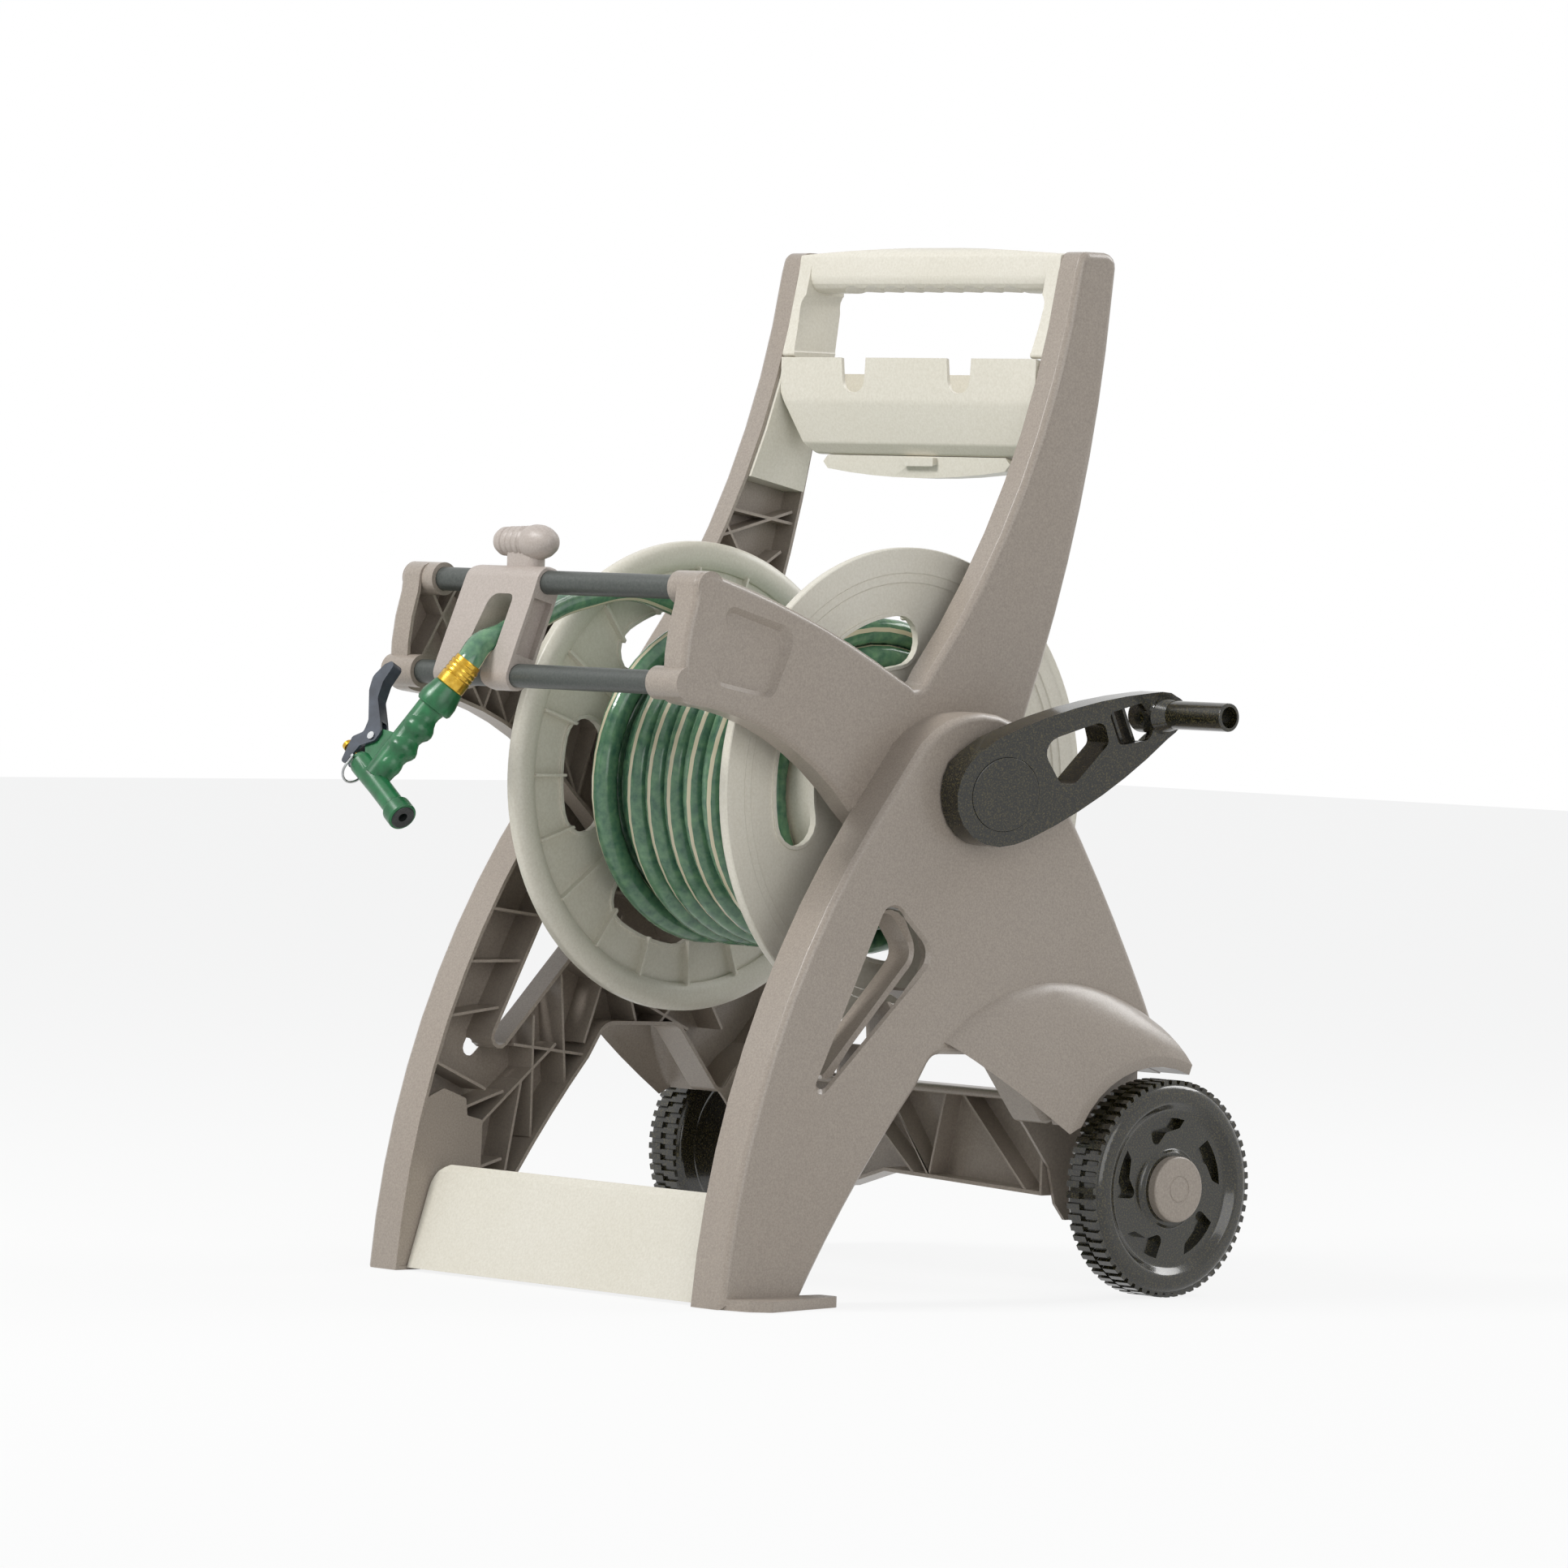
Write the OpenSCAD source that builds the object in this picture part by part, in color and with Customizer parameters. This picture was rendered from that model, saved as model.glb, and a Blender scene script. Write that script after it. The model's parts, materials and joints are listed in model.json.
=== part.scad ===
// Hose reel cart: two ribbed side frames carry a reel with a crank, a handle with a
// storage tray, a pair of wheels and a hose guide that slides on two front bars.
// Millimetres. X runs across the cart with the crank on +X, the front is -Y, Z is up.

/* [Side frames] */
// Height of the reel axis above the ground
reel_z = 424; // [418:1:430]
// Inner face of the arm and upright, from the middle of the cart
up_in = 164; // [162:1:168]
// Outer face of the arm and upright, and inner face of the legs
up_out = 190; // [188:1:194]
// Outer face of the legs
leg_out = 228; // [226:1:229]
// Wall of the moulded frames
wall = 3.2; // [2.6:0.2:3.8]
// Thickness of the stiffening ribs
rib_t = 2.4; // [1.8:0.2:3]
// Rounding of the outer edges
edge_r = 7; // [4:1:8]
// Thickness of the foot pad
pad_t = 9; // [6:1:12]

/* [Wheels] */
// Radius of a wheel over its tread
wheel_r = 92; // [88:0.5:96]
// Distance of the axle behind the reel axis
axle_y = 188; // [184:0.5:192]
// Radius of the axle
axle_r = 6; // [5:0.5:8]
// Outer face of a wheel, from the middle of the cart
wheel_out = 286; // [284:0.5:290]
// Width of a wheel
wheel_w = 40; // [36:1:44]
// Number of tread lugs in a row
lug_n = 60; // [40:2:72]
// Radius of a hub cap
cap_r = 28; // [24:1:32]

/* [Reel] */
// Outer radius of the reel flanges
flange_r = 203; // [196:1:208]
// Outer plane of the reel flanges, from the middle of the cart
flange_out = 140; // [138:1:146]
// Depth of a reel flange
flange_t = 14; // [12:1:16]
// Outer radius of the reel drum
drum_r = 100; // [90:1:101]
// Radius of the reel shaft
shaft_r = 17; // [14:1:20]
// Number of radial ribs on a flange
spoke_n = 20; // [15:5:25]

/* [Hose] */
// Outer diameter of the hose
hose_d = 22; // [18:1:22]
// Radius of the outer winding at the middle of the hose
coil_r = 132; // [128:1:136]
// Pitch of the outer winding
coil_p = 24; // [23:0.5:25]
// Turns of the outer winding
coil_n = 8.4; // [6:0.1:8.4]

/* [Guide] */
// Diameter of the guide bars
bar_d = 20; // [16:1:22]
// Inner end of the bar bosses, from the middle of the cart
boss_in = 150; // [148:1:156]
// Wall of the guide round its bars
guide_wall = 3; // [2:0.5:4]

/* [Crank] */
// Distance of the grip from the reel axis
crank_len = 156; // [150:1:160]
// Angle of the crank above the horizontal
crank_a = 26.5; // [0:0.5:90]
// Slope of the crank away from the frame
crank_b = 16.5; // [12:0.5:18]
// Outer radius of the crank grip
grip_r = 12; // [11:0.5:14]
// Length of the crank grip
grip_len = 64; // [50:1:90]

/* [Handle and tray] */
// Height of the carrying handle at its ends
handle_z = 880; // [878:1:881]
// Number of finger scallops under the handle
scallop_n = 9; // [5:2:11]
// Wall of the handle tray
tray_wall = 3; // [2:0.5:4]

/* [Hidden] */
$fn = 64;

// Clearance of pieces that sit in each other, and of shafts that turn
fit = 0.3;
run = 0.05;
// The gap beside a turning wheel, reel or crank
side_gap = 0.4;

axle_z = wheel_r;
arch_r = wheel_r + 10;
// Overlap of the two levels of a side frame
lap = 1;
bar_r = bar_d / 2;
// Bar centres as [Y, Z]
bar_hi = [-269.8, reel_z + 164.7];
bar_lo = [-290.6, reel_z + 86.3];
bar_lean = atan((bar_hi.x - bar_lo.x) / (bar_hi.y - bar_lo.y));
bar_gap = norm(bar_hi - bar_lo);
ring_r = bar_r + guide_wall;
crank_tan = tan(crank_b);
crank_x = leg_out + 34;
grip_x0 = crank_x + crank_tan * crank_len + 10;
grip_x1 = grip_x0 + grip_len;
cap_t = 6;
cart_x = -(grip_x1 - wheel_out - cap_t) / 2;
boss_r = bar_r + 4;
cart_y = -(axle_y + wheel_r + bar_lo.x - boss_r) / 2;

// Points on the arc from a through b to c, as n + 1 points
function turn(t) = t - 360 * floor(t / 360);
function arc3(a, b, c, n = 8) =
    let (d = 2 * (a.x * (b.y - c.y) + b.x * (c.y - a.y) + c.x * (a.y - b.y)),
        ox = (a * a * (b.y - c.y) + b * b * (c.y - a.y) + c * c * (a.y - b.y)) / d,
        oy = (a * a * (c.x - b.x) + b * b * (a.x - c.x) + c * c * (b.x - a.x)) / d,
        o = [ox, oy],
        r = norm(a - o),
        t0 = atan2(a.y - oy, a.x - ox),
        tb = turn(atan2(b.y - oy, b.x - ox) - t0),
        tc = turn(atan2(c.y - oy, c.x - ox) - t0),
        s = tb < tc ? tc : tc - 360)
    [for (i = [0 : n]) o + r * [cos(t0 + s * i / n), sin(t0 + s * i / n)]];

// Points on a circle about o from angle a to angle b
function arc(o, r, a, b, n = 8) =
    [for (i = [0 : n]) o + r * [cos(a + (b - a) * i / n), sin(a + (b - a) * i / n)]];

function unit(v) = v / norm(v);

// Rounds the corners of a closed outline of [x, y, radius] points
function rounded(p, k = 4) =
    [for (i = [0 : len(p) - 1])
        let (c = [p[i][0], p[i][1]],
            a0 = p[(i + len(p) - 1) % len(p)],
            b0 = p[(i + 1) % len(p)],
            u = unit([a0[0], a0[1]] - c),
            v = unit([b0[0], b0[1]] - c),
            r = len(p[i]) > 2 ? p[i][2] : 0,
            h = acos(max(-1, min(1, u * v))) / 2,
            o = c + (r > 0 && h < 89 ? unit(u + v) * r / sin(h) : [0, 0]),
            s = c + u * r / tan(h),
            e = c + v * r / tan(h),
            t0 = atan2(s.y - o.y, s.x - o.x),
            dt = turn(atan2(e.y - o.y, e.x - o.x) - t0 + 180) - 180)
        each (r > 0 && h < 89
            ? [for (j = [0 : k]) o + r * [cos(t0 + dt * j / k), sin(t0 + dt * j / k)]]
            : [c])];

function area2(p, i = 0) = i >= len(p) ? 0
    : cross(p[i], p[(i + 1) % len(p)]) + area2(p, i + 1);

// Moves a closed outline inward by d
function inset(p, d) =
    let (w = area2(p) > 0 ? 1 : -1)
    [for (i = [0 : len(p) - 1])
        let (u = unit(p[i] - p[(i + len(p) - 1) % len(p)]),
            v = unit(p[(i + 1) % len(p)] - p[i]),
            a = w * [-u.y, u.x],
            b = w * [-v.y, v.x])
        p[i] + (a + b) * d / max(0.4, 1 + a * b)];

// A slab of a [Y, Z] outline between two X planes
module slab(x0, x1, p)
    translate([x0, 0, 0]) rotate([90, 0, 90]) linear_extrude(x1 - x0) polygon(p);

// A slab of an [X, Z] outline between two Y planes
module slab_y(y0, y1, p)
    translate([0, y1, 0]) rotate([90, 0, 0]) linear_extrude(y1 - y0) polygon(p);

// A cylinder along X about a [Y, Z] centre
module rod(x0, x1, c, r)
    translate([x0, c.x, c.y]) rotate([0, 90, 0]) cylinder(h = x1 - x0, r = r);

// A solid skinned over rings of 3D points, each listed anticlockwise about the way they go
module skin(rings) {
    m = len(rings);
    n = len(rings[0]);
    polyhedron(
        points = [for (g = rings) each g],
        faces = concat(
            [[for (i = [0 : n - 1]) i]],
            [for (j = [0 : m - 2], i = [0 : n - 1])
                each [[j * n + i, (j + 1) * n + i, (j + 1) * n + (i + 1) % n],
                    [j * n + i, (j + 1) * n + (i + 1) % n, j * n + (i + 1) % n]]],
            [[for (i = [n - 1 : -1 : 0]) (m - 1) * n + i]]));
}

// The same over rings whose first half lies along their second, so that both ends close as strips
module band_skin(rings) {
    m = len(rings);
    n = len(rings[0]);
    e = (m - 1) * n;
    polyhedron(
        points = [for (g = rings) each g],
        faces = concat(
            [for (i = [0 : n / 2 - 2]) each [[i, i + 1, n - 2 - i], [i, n - 2 - i, n - 1 - i]]],
            [for (j = [0 : m - 2], i = [0 : n - 1])
                each [[j * n + i, (j + 1) * n + i, (j + 1) * n + (i + 1) % n],
                    [j * n + i, (j + 1) * n + (i + 1) % n, j * n + (i + 1) % n]]],
            [for (i = [0 : n / 2 - 2])
                each [[e + i, e + n - 2 - i, e + i + 1], [e + i, e + n - 1 - i, e + n - 2 - i]]]));
}

function at_x(p, x) = [for (q = p) [x, q.x, q.y]];
function ccw(p) = area2(p) > 0 ? p : [for (i = [len(p) - 1 : -1 : 0]) p[i]];

// A slab whose outer edge at x1 is rounded by r
module crowned(x0, x1, p, r) difference() {
    slab(x0, x1, p);
    edge_cut(p, x1, r);
}

// Closed band round an outline that takes the corner off its edge at x1
module edge_cut(p, x1, r) {
    q = ccw(p);
    n = len(q);
    band = concat([[-1.5, 2], [-1.5, -r - 3]],
        [for (t = [14, 39, 65]) [r * (1 - cos(t)), r * sin(t) - r]],
        [[r + 1, 0.3], [r + 1, 2]]);
    m = len(band);
    polyhedron(
        points = [for (b = band) each at_x(inset(q, b.x), x1 + b.y)],
        faces = [for (j = [0 : m - 1], i = [0 : n - 1])
            let (k = (j + 1) % m, h = (i + 1) % n)
            each [[j * n + i, k * n + h, k * n + i], [j * n + i, j * n + h, k * n + h]]]);
}

// A rib between two [Y, Z] points, from x0 to x1
module rib(x0, x1, a, b, t = rib_t) {
    l = norm(b - a);
    translate([x0, a.x, a.y]) rotate([atan2(b.y - a.y, b.x - a.x), 0, 0])
        translate([0, 0, -t / 2]) cube([x1 - x0, l, t]);
}

// Outlines of the side frame as [Y, Z]
arm_outline = rounded(concat(
    [[-299, 496, 10]],
    arc3([-285, 493], [-195, 470], [-107, 407], 8),
    arc3([-90, 392], [-5, 350], [80, 425], 6),
    arc3([92, 488], [140, 630], [179, 845], 8),
    [[183, 882, 12], [141, 882, 10]],
    arc3([136, 864], [74, 671], [-20, 524], 8),
    arc3([-25, 516], [-34, 510], [-45, 514], 3),
    arc3([-52, 517], [-150, 563], [-262, 600], 7),
    [[-284, 604, 12]],
    arc3([-287, 578], [-294, 552], [-297, 512], 3)));

leg_outline = rounded(concat(
    arc3([-269, 0], [-229, 186], [-112, 401], 10),
    arc3([-62, 464], [5, 491], [72, 464], 8),
    arc3([84, 445], [165, 322], [221, 219], 7),
    arc([axle_y, axle_z], arch_r, 66, 138, 7),
    [[axle_y + arch_r * cos(153), axle_z + arch_r * sin(153), 10], [44, 204, 14], [-40, 206, 18]],
    arc3([-58, 178], [-118, 104], [-186, 0], 7)));

window = rounded([[-186, 158, 7], [-93, 336, 15], [-57, 290, 14]], 5);
window_out = rounded([[-190, 150, 7], [-95, 341, 15], [-38, 289, 16]], 5);
pocket = rounded([[-253, 577, 10], [-172, 556, 14], [-199, 498, 12], [-264, 509, 12]], 4);
pocket_in = rounded([[-249, 571, 8], [-180, 552, 10], [-201, 503, 8], [-259, 513, 8]], 4);
fender_x = wheel_out - 25;
function from_axle(r, a) = [axle_y + r * cos(a), axle_z + r * sin(a)];
fender_arch = [for (a = [68 : 9 : 149]) from_axle(arch_r, a)];
// Foot of the fender on the leg and its lip over the wheel, as matching outlines
fender_foot = concat(arc3([-30, 216], [6, 241], [48, 258], 5), arc3([72, 263], [132, 262], [205, 234], 9),
    fender_arch, [[86, 173], [68, 198], [50, 215], [28, 215], [8, 215], [-12, 215]]);
fender_lip = concat([for (k = [0 : 5]) from_axle(arch_r + 9, 155 - k)],
    [for (a = [149 : -9 : 68]) from_axle(arch_r + 9, a)], fender_arch,
    [for (k = [1 : 6]) from_axle(arch_r + 1.3 * k, 149 + 0.9 * k)]);
// How far the lip is reached, and how high the fender stands there
fender_rise = [[0.03, 0.14], [0.09, 0.28], [0.2, 0.45], [0.36, 0.63], [0.55, 0.8], [0.78, 0.93], [1, 1]];
axle_plate = rounded(concat(arc([axle_y, axle_z], arch_r + 4, 66, 150, 7),
    [[101, 140], [134, 100, 8], [150, 78, 6], [172, 60, 10], [216, 60, 12], [232, 92, 8]]), 4);
foot_plate = rounded([[-266, 0], [-260, 50], [-247, 112], [-237, 147, 4], [-220, 154, 4],
    [-195, 145, 3], [-193, 130, 2], [-176, 126, 3], [-177, 60, 4], [-188, 0]], 3);

panel_top = [-230, 90];
panel_foot = [-257, 2];
panel_t = 3;
brace_y = 150;

axle_c = [axle_y, axle_z];
reel_c = [0, reel_z];

// Side frame of the +X side: arm and upright in one level, the leg in the next one out
module side_frame() {
    hub_r = shaft_r + 8;
    difference() {
        union() {
            // arm and upright: an open channel that faces the reel
            difference() {
                crowned(up_in, up_out, arm_outline, edge_r);
                slab(up_in - 1, up_out - wall, inset(arm_outline, wall));
            }
            intersection() {
                slab(up_in + 3, up_out - wall + 0.5, inset(arm_outline, wall - 0.5));
                union() {
                    for (s = [[[-292, 500], [-236, 590]], [[-282, 600], [-208, 478]],
                            [[-236, 590], [-180, 464]], [[-208, 478], [-168, 572]],
                            [[-180, 464], [-120, 550]], [[-168, 572], [-100, 402]],
                            [[-100, 402], [-60, 524]], [[-120, 550], [-40, 380]],
                            [[-40, 380], [-10, 530]], [[-34, 505], [60, 400]],
                            [[0, 540], [94, 490]], [[-5, 500], [118, 560]],
                            [[20, 575], [118, 560]], [[0, 540], [128, 620]],
                            [[60, 648], [118, 560]], [[48, 630], [140, 655]]])
                        rib(up_in + 3, up_out, s[0], s[1]);
                    slab(up_in + 1, up_out, [[40, 662], [200, 662 - 26], [200, 634 - 0.5], [40, 659.5]]);
                }
            }
            // floor of the pressed pocket on the arm
            slab(up_out - 5 - wall, up_out - 1, inset(pocket, -2));
            // leg: a deeper open channel
            difference() {
                crowned(up_out - lap, leg_out, leg_outline, edge_r);
                slab(up_out - lap - 1, leg_out - wall, inset(leg_outline, wall));
            }
            intersection() {
                slab(up_out, leg_out - wall + 0.5, inset(leg_outline, wall - 0.5));
                union() {
                    for (s = [[[-258, 62], [-150, 92]], [[-256, 100], [-170, 40]],
                            [[-248, 120], [-150, 150]], [[-230, 178], [-170, 152]],
                            [[-218, 215], [-158, 222]], [[-200, 262], [-132, 262]],
                            [[-172, 308], [-110, 300]], [[-140, 352], [-86, 340]],
                            [[-150, 60], [-130, 160]], [[-178, 120], [-92, 190]],
                            [[-140, 190], [-60, 180]], [[-118, 110], [-118, 215]],
                            [[-80, 150], [-88, 250]], [[-60, 190], [-20, 300]],
                            [[-70, 260], [60, 200]], [[0, 205], [-40, 330]],
                            [[20, 200], [120, 300]], [[100, 200], [20, 330]],
                            [[-80, 330], [90, 300]], [[40, 330], [170, 240]],
                            [[120, 160], [200, 250]], [[-60, 340], [60, 460]],
                            [[70, 330], [-60, 460]], [[90, 330], [150, 330]]])
                        rib(up_out + 4, leg_out, s[0], s[1]);
                    // lip round the window, inside
                    slab(up_out + 1, leg_out, inset(window, -wall));
                }
            }
            slab(up_out, up_out + wall, axle_plate);
            slab(up_out, up_out + wall, foot_plate);
            // raised fender over the wheel
            band_skin(concat([at_x(ccw(fender_foot), leg_out - 1.8), at_x(ccw(fender_foot), leg_out - 0.5)],
                [for (k = fender_rise) at_x(ccw((1 - k[0]) * fender_foot + k[0] * fender_lip),
                    leg_out - 0.5 + k[1] * (fender_x - leg_out + 0.5))]));
            rod(up_in, leg_out, reel_c, hub_r);
            rod(boss_in, up_out - 1, bar_hi, boss_r);
            rod(boss_in, up_out - 1, bar_lo, boss_r);
            rod(up_out - 4, wheel_out - wheel_w - side_gap, axle_c, axle_r + 7);
            // stop tab below the axle plate
            slab(up_out, up_out + wall, [[130, 104], [138, 74], [150, 60], [172, 60], [172, 90]]);
        }
        skin([at_x(ccw(window), up_out - 2), at_x(ccw(window), leg_out - 12),
            at_x(ccw(window_out), leg_out + 1)]);
        skin([at_x(ccw(pocket_in), up_out - 5), at_x(ccw(pocket), up_out + 0.5)]);
        rod(up_in - 1, leg_out + 4, reel_c, shaft_r + run);
        rod(boss_in - 1, up_out - wall + 0.1, bar_hi, bar_r + run);
        rod(boss_in - 1, up_out - wall + 0.1, bar_lo, bar_r + run);
        rod(up_out - 6, wheel_out, axle_c, axle_r + run);
        translate([up_in - 30, -350, -20]) cube([120, 700, 20]);
    }
}

module side_frame_right()
    color("#9a8f88") {
        side_frame();
        linear_extrude(pad_t) polygon(rounded([[leg_out - 14, -268.5], [leg_out + 20, -258, 8],
            [leg_out + 32, -243, 6], [leg_out + 14, -152, 6], [leg_out - 6, -156, 3],
            [leg_out - 8, -188], [leg_out - 14, -190]]));
    }

module side_frame_left() color("#9a8f88") mirror([1, 0, 0]) side_frame();

// Panel across the front feet: a leaning face with flanges behind it
module front_panel() {
    n = unit([panel_top.y - panel_foot.y, -(panel_top.x - panel_foot.x)]);
    w = up_out - lap - fit;
    color("#cfc9b8") intersection() {
        slab(-w, w, concat([panel_foot, panel_top + [0, -6], panel_top + [5, 0],
            panel_top + [24, -2], panel_top + [24, -5], panel_top + [6, -3.4]],
            [panel_top + [3.2, -7], panel_foot + [4, 6], panel_foot + [4.4, 3.2],
            panel_foot + [36, 3.2], panel_foot + [36, 0]]));
        slab_y(-300, -180, rounded([[-w, 0], [w, 0], [w, panel_top.y + 0.5, 22],
            [-w, panel_top.y + 0.5, 22]], 6));
    }
}

// Channel across the back, between the axle plates
module rear_brace() {
    w = up_out - lap - fit;
    edge = [[-w, 167], [w, 167], [w, 81], [-8, 88], [-64, 71], [-w, 71]];
    color("#8d837c") {
        difference() {
            slab_y(brace_y - 24, brace_y, edge);
            slab_y(brace_y - 25, brace_y - 3, [[-w + 3, 162], [w - 3, 162], [w - 3, 84.5],
                [-8, 91.3], [-64, 74.5], [-w + 3, 74.5]]);
        }
        translate([-w, brace_y - 24, 163.5]) rotate([0, 90, 0]) cylinder(h = 2 * w, r = 4);
        intersection() {
            slab_y(brace_y - 23, brace_y - 1, edge);
            union() {
                for (s = [[[66, 164], [46, 84]], [[-12, 164], [48, 86]], [[84, 164], [172, 80]],
                        [[-64, 164], [34, 84]], [[-80, 164], [-120, 70]], [[-172, 164], [-120, 70]]])
                    translate([s[0].x, brace_y - 23, s[0].y])
                        rotate([0, -atan2(s[1].y - s[0].y, s[1].x - s[0].x), 0])
                            translate([0, 0, -rib_t / 2]) cube([norm(s[1] - s[0]), 22, rib_t]);
            }
        }
    }
}

// Handle: arms that fill the uprights and a grip bar with finger scallops
yoke_x = up_out - wall - fit;
grip_lo = handle_z - 33;
hole_x = 149;
tray_z = handle_z - 90;

module handle_yoke() {
    section = rounded([[136, grip_lo, 14], [176, grip_lo, 14], [177, handle_z + 7, 13],
        [139, handle_z + 7, 13]], 6);
    color("#cfc9b8") {
        for (s = [0, 1]) mirror([s, 0, 0]) {
            intersection() {
                slab(up_in - 3, yoke_x, inset(arm_outline, wall + fit));
                slab(up_in - 4, up_out, [[40, tray_z - 96], [200, tray_z - 128], [200, handle_z + 20], [40, handle_z + 20]]);
            }
            // cheek beside the hand hole
            difference() {
                slab(hole_x, up_in, rounded([[119, tray_z + fit, 3], [168, tray_z + fit, 3], [177, tray_z + 40, 6],
                    [177, handle_z + 1, 12], [140, handle_z + 1, 12], [126, tray_z + 26, 8]], 5));
                slab_y(90, 190, rounded([[hole_x - 30, tray_z + 3], [hole_x - 8, tray_z + 3, 4],
                    [hole_x + 0.5, tray_z + 3, 4], [hole_x + 6, grip_lo + 0.5, 12], [hole_x - 30, grip_lo + 0.5]]));
            }
        }
        difference() {
            intersection() {
                slab(-up_in, up_in, section);
                slab_y(120, 190, concat([[up_in, grip_lo - 1], [up_in, handle_z - 0.5]],
                    arc3([up_in - 4, handle_z], [0, handle_z + 6], [4 - up_in, handle_z], 10),
                    [[-up_in, handle_z - 0.5], [-up_in, grip_lo - 1]]));
            }
            for (i = [0 : scallop_n - 1])
                translate([(i - (scallop_n - 1) / 2) * 25, 190, grip_lo - 12])
                    rotate([90, 0, 0]) cylinder(h = 80, r = 18);
        }
    }
}

// Tray below the hand hole: an open box with two notches in its front lip
module storage_tray() {
    w = up_in - 3 - fit;
    front = rounded([[116, tray_z], [116, tray_z - 38, 30], [123, tray_z - 74, 8], [130, tray_z - 84, 6],
        [160, tray_z - 84, 8], [172, tray_z - 20], [173, tray_z - 14]], 5);
    face = rounded([[-w, tray_z], [-w, tray_z - 30, 8], [-137, tray_z - 74, 16], [-126, tray_z - 84, 10],
        [126, tray_z - 84, 10], [137, tray_z - 74, 16], [w, tray_z - 30, 8], [w, tray_z]], 5);
    color("#cfc9b8") difference() {
        intersection() {
            slab(-w, w, front);
            slab_y(100, 180, face);
        }
        intersection() {
            slab(-w + tray_wall, w - tray_wall, [[116 + tray_wall, tray_z + 1], [116 + tray_wall, tray_z - 42],
                [129, tray_z - 80], [158, tray_z - 80], [168, tray_z - 20], [170, tray_z + 1]]);
            slab_y(80, 180, [[3 - w, tray_z + 1], [3 - w, tray_z - 28], [-133, tray_z - 73], [-122, tray_z - 80],
                [122, tray_z - 80], [133, tray_z - 73], [w - 3, tray_z - 28], [w - 3, tray_z + 1]]);
        }
        for (x = [-67, 66])
            slab_y(80, 125, rounded([[x - 17, tray_z + 8], [x - 13, tray_z - 30, 12],
                [x + 13, tray_z - 30, 12], [x + 15, tray_z + 8]], 5));
    }
}

// Lower shell closing the tray from below, with its snap clip
module tray_base() {
    color("#c4bda9") {
        slab_y(130, 156, concat([[-112, tray_z - 84.3], [112, tray_z - 84.3], [118, tray_z - 90]],
            arc3([112, tray_z - 96], [0, tray_z - 103], [-112, tray_z - 96], 8), [[-118, tray_z - 90]]));
        slab_y(125, 130, rounded([[-12, tray_z - 85.5], [27, tray_z - 85.5], [27, tray_z - 93, 2],
            [-12, tray_z - 93, 2]], 3));
    }
}

module axle() color("#8c8f92") rod(-wheel_out - 2, wheel_out + 2, axle_c, axle_r);

module hub_cap() {
    translate([wheel_out - 3, axle_y, axle_z]) rotate([0, 90, 0]) difference() {
        rotate_extrude() polygon(rounded([[0, 0], [cap_r, 0], [cap_r, 3 + cap_t, 2.5],
            [0, 3 + cap_t]], 4));
        translate([0, 0, -1]) cylinder(h = 6 + run, r = axle_r + run);
        translate([0, 0, 2 + cap_t + 0.4]) difference() {
            cylinder(h = 2, r = 11.5);
            translate([0, 0, -1]) cylinder(h = 4, r = 10.3);
        }
    }
}
module hub_cap_right() color("#9a8f88") hub_cap();
module hub_cap_left() color("#9a8f88") mirror([1, 0, 0]) hub_cap();

module guide_bar(c) {
    l = up_out - wall - 0.2;
    difference() {
        rod(-l, l, c, bar_r);
        rod(-l - 1, l + 1, c, bar_r - 1.4);
    }
}
module guide_bar_upper() color("#4a4e4b") guide_bar(bar_hi);
module guide_bar_lower() color("#4a4e4b") guide_bar(bar_lo);

// Threaded inlet for the leader hose, in the hub of the far frame
module water_inlet()
    color("#4a4e4b") translate([-leg_out, 0, reel_z]) rotate([0, -90, 0]) difference() {
        union() {
            rotate_extrude() polygon([[0, 0], [shaft_r + 6, 0], [shaft_r + 6, 4], [16, 6], [13.2, 6],
                [13.2, 26], [12.4, 27], [0, 27]]);
        }
        translate([0, 0, 4]) cylinder(h = 40, r = 9.5);
    }

// Reel flange of the +X side: stepped web, rounded rim, kidney slots and inner ribs
module reel_flange() {
    x0 = flange_out - flange_t;
    web = flange_out - 6;
    r0 = shaft_r + run;
    translate([0, 0, reel_z]) rotate([0, 90, 0]) {
        difference() {
            union() {
                rotate_extrude($fn = 96) polygon(concat([[r0, web], [r0, up_in - side_gap], [r0 + 8, up_in - side_gap],
                    [r0 + 8, web + 3], [flange_r - 30, web + 3], [flange_r - 29, web + 4.2],
                    [flange_r - 22, web + 4.2], [flange_r - 21, flange_out - 0.8],
                    [flange_r - 8, flange_out - 0.8], [flange_r - 7, flange_out],
                    [flange_r - 1, flange_out]],
                    [[flange_r, flange_out - 1], [flange_r, x0 + 7]],
                    arc3([flange_r - 0.8, x0 + 4.5], [flange_r - 12.5, x0], [flange_r - 24, x0 + 5], 6),
                    [[flange_r - 24, web]]));
                // raised lips round the slots
                for (k = [0 : 4]) rotate([0, 0, 54 + 72 * k]) kidney(web - 2, web + 5, 3.2);
                for (k = [0 : spoke_n - 1]) rotate([0, 0, 360 / spoke_n * k])
                    translate([drum_r + 10, -rib_t / 2, x0 + 1.5])
                        cube([flange_r - 24 - drum_r - 8.5, rib_t, web - x0 - 1]);
            }
            for (k = [0 : 4]) rotate([0, 0, 54 + 72 * k]) kidney(x0 - 1, flange_out + 1, 0);
        }
    }
}

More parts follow.
